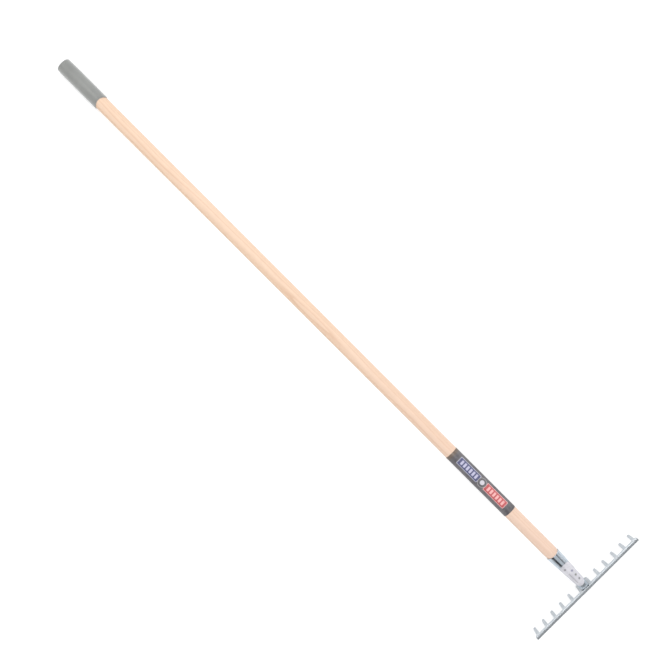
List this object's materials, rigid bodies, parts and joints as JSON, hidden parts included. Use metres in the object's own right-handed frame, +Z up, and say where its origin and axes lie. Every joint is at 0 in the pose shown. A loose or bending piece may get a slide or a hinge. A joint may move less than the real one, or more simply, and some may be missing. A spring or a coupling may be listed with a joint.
{
  "type": "garden rake",
  "caption": "Long-handled garden rake with a straight pressed-steel toothed head, a rolled steel socket, an ash handle and a soft grip sleeve.",
  "frame": {"origin": "on the level ground that the rake lies on, under the middle of its overall box", "axes": "+X along the rake towards the toothed head, +Y across the head, +Z up from the ground; the rake lies teeth down on its tooth tips and the outer end of its grip, so the handle slopes up towards the head by 1.53 degrees"},
  "size_m": [1.525, 0.291, 0.0694],
  "materials": {
    "ash_wood": "sanded pale ash under a thin clear lacquer",
    "grip_plastic": "soft matt grey moulding",
    "printed_film": "printed plastic film, charcoal with a blue and a red panel",
    "galvanised_socket": "bright galvanised sheet, rolled",
    "pale_sticker": "pale silvery film sticker with small dark printed marks",
    "galvanised_head": "galvanised pressed steel",
    "weld_metal": "zinc-painted weld bead",
    "screw_steel": "zinc-plated steel"
  },
  "bodies": {
    "root": {"handle": "ash_wood", "end_grip": "grip_plastic", "handle_label": "printed_film", "socket": "galvanised_socket", "socket_sticker": "pale_sticker", "rake_head": "galvanised_head", "weld_left": "weld_metal", "weld_right": "weld_metal", "fixing_screw": "screw_steel"}
  },
  "joints": []
}
